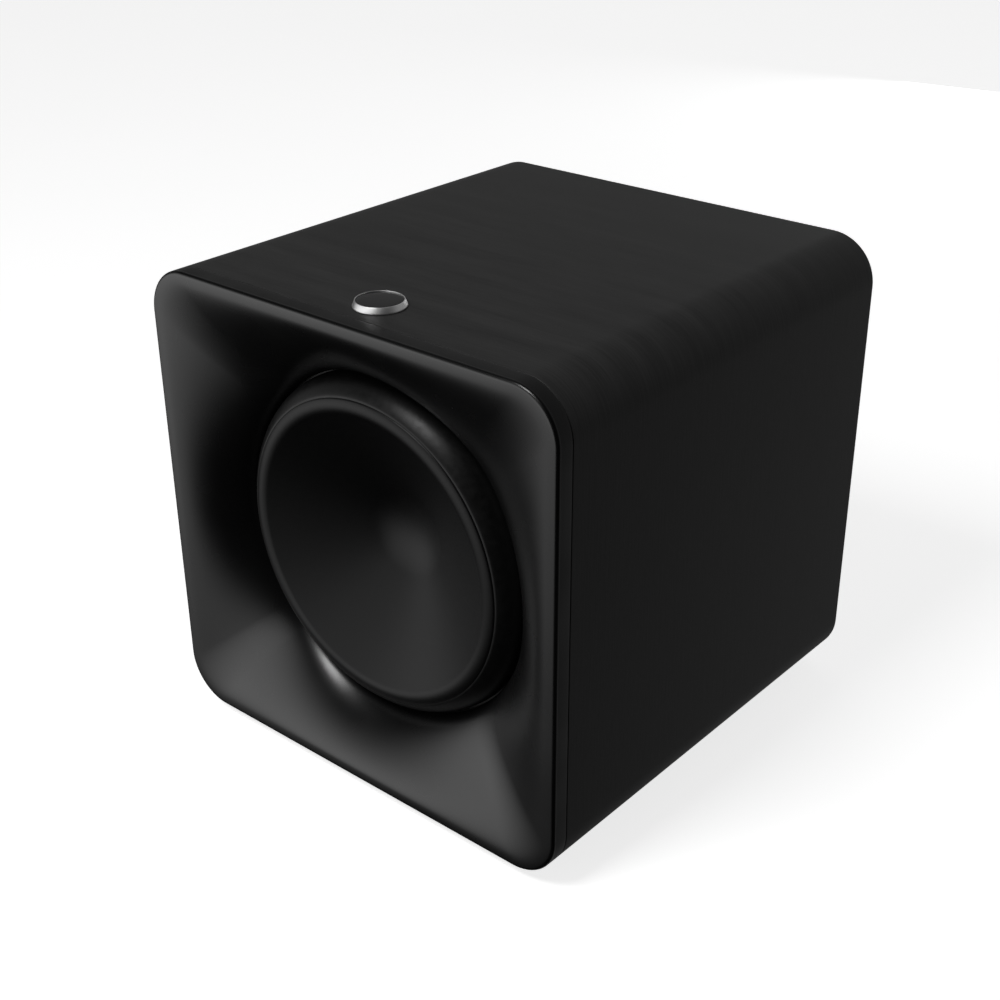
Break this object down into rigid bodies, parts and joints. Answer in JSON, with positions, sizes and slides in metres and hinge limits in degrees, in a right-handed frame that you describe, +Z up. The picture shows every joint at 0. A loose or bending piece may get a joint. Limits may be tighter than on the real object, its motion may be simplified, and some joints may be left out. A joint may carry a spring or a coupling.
{
  "type": "subwoofer",
  "caption": "Compact powered subwoofer: rounded box with a flared front moulding round a dish-shaped driver, a round badge on top and rear controls.",
  "frame": {"origin": "bottom centre of the whole object's box, on the plane the feet stand on", "axes": "+Z up, front horn towards -Y, +X to the right as seen from the front"},
  "size_m": [0.318, 0.334, 0.3201],
  "materials": {
    "black_ash": "black ash vinyl on board, satin",
    "satin_plastic": "satin moulded plastic",
    "moulded_plastic": "fine moulded texture",
    "chrome": "polished",
    "gloss_black": "gloss",
    "rubber": "satin rubber",
    "cone_fibre": "satin, faint radial grain",
    "spider_cloth": "resin-dipped cloth",
    "aluminium": "plain",
    "copper": "enamelled copper wire",
    "plated_steel": "zinc plated",
    "black_screw": "black zinc",
    "black_steel": "black powder coat",
    "ferrite": "raw ferrite",
    "board_wood": "bare fibreboard",
    "circuit_green": "solder mask",
    "capacitor_sleeve": "printed sleeve on a can",
    "transformer_tape": "taped winding on a core",
    "led_lens": "clear lens"
  },
  "bodies": {
    "cabinet": {"amp_board": "circuit_green", "amp_gasket": "rubber", "amp_plate": "black_steel", "amp_plate_screw_1": "black_screw", "amp_plate_screw_2": "black_screw", "amp_plate_screw_3": "black_screw", "amp_plate_screw_4": "black_screw", "badge_disc": "gloss_black", "badge_ring": "chrome", "baffle_board": "board_wood", "basket": "black_steel", "cabinet_shell": "black_ash", "capacitor_1": "capacitor_sleeve", "capacitor_2": "capacitor_sleeve", "driver_screw_1": "plated_steel", "driver_screw_2": "plated_steel", "driver_screw_3": "plated_steel", "driver_screw_4": "plated_steel", "driver_screw_5": "plated_steel", "driver_screw_6": "plated_steel", "foot_front_left": "rubber", "foot_front_right": "rubber", "foot_rear_left": "rubber", "foot_rear_right": "rubber", "front_horn": "satin_plastic", "gain_pot": "plated_steel", "heatsink": "aluminium", "lowpass_pot": "plated_steel", "magnet": "ferrite", "magnet_boot": "rubber", "mains_inlet": "gloss_black", "phase_switch_body": "plated_steel", "port_tube": "moulded_plastic", "power_switch_housing": "gloss_black", "rca_block": "gloss_black", "rca_ring_left": "plated_steel", "rca_ring_right": "plated_steel", "rear_panel": "black_ash", "speaker_cable": "gloss_black", "spider": "spider_cloth", "status_led": "led_lens", "surround": "rubber", "terminal_strip": "gloss_black", "tinsel_lead_left": "copper", "tinsel_lead_right": "copper", "top_plate": "plated_steel", "transformer": "transformer_tape", "trim_ring": "rubber", "window_brace": "board_wood", "wireless_module": "plated_steel", "yoke": "plated_steel"},
    "cone_assembly": {"cone": "cone_fibre", "coil_former": "aluminium", "voice_coil": "copper"},
    "gain_control": {"gain_knob": "rubber"},
    "lowpass_control": {"lowpass_knob": "rubber"},
    "phase_lever": {"phase_switch_lever": "gloss_black"},
    "rocker": {"power_rocker": "gloss_black"},
    "pairing_button": {"pair_button": "gloss_black"}
  },
  "joints": [
    {"name": "cone_travel", "type": "slide", "parent": "cabinet", "child": "cone_assembly", "axis": [0, -1, 0], "range_m": [-0.008, 0.008], "stiffness_N_per_m": 4000, "deforming": ["surround", "spider", "tinsel_lead_left", "tinsel_lead_right"]},
    {"name": "gain_turn", "type": "hinge", "parent": "cabinet", "child": "gain_control", "pos_m": [0.083, 0.167, 0.2455], "axis": [0, -1, 0], "range_deg": [-150, 150]},
    {"name": "lowpass_turn", "type": "hinge", "parent": "cabinet", "child": "lowpass_control", "pos_m": [0.007, 0.167, 0.2455], "axis": [0, -1, 0], "range_deg": [-150, 150]},
    {"name": "phase_slide", "type": "slide", "parent": "cabinet", "child": "phase_lever", "axis": [1, 0, 0], "range_m": [0, 0.004]},
    {"name": "power_tilt", "type": "hinge", "parent": "cabinet", "child": "rocker", "pos_m": [0.009, 0.1495, 0.0835], "axis": [1, 0, 0], "range_deg": [-16, 0]},
    {"name": "pair_press", "type": "slide", "parent": "cabinet", "child": "pairing_button", "axis": [0, -1, 0], "range_m": [0, 0.0008], "stiffness_N_per_m": 1500}
  ]
}
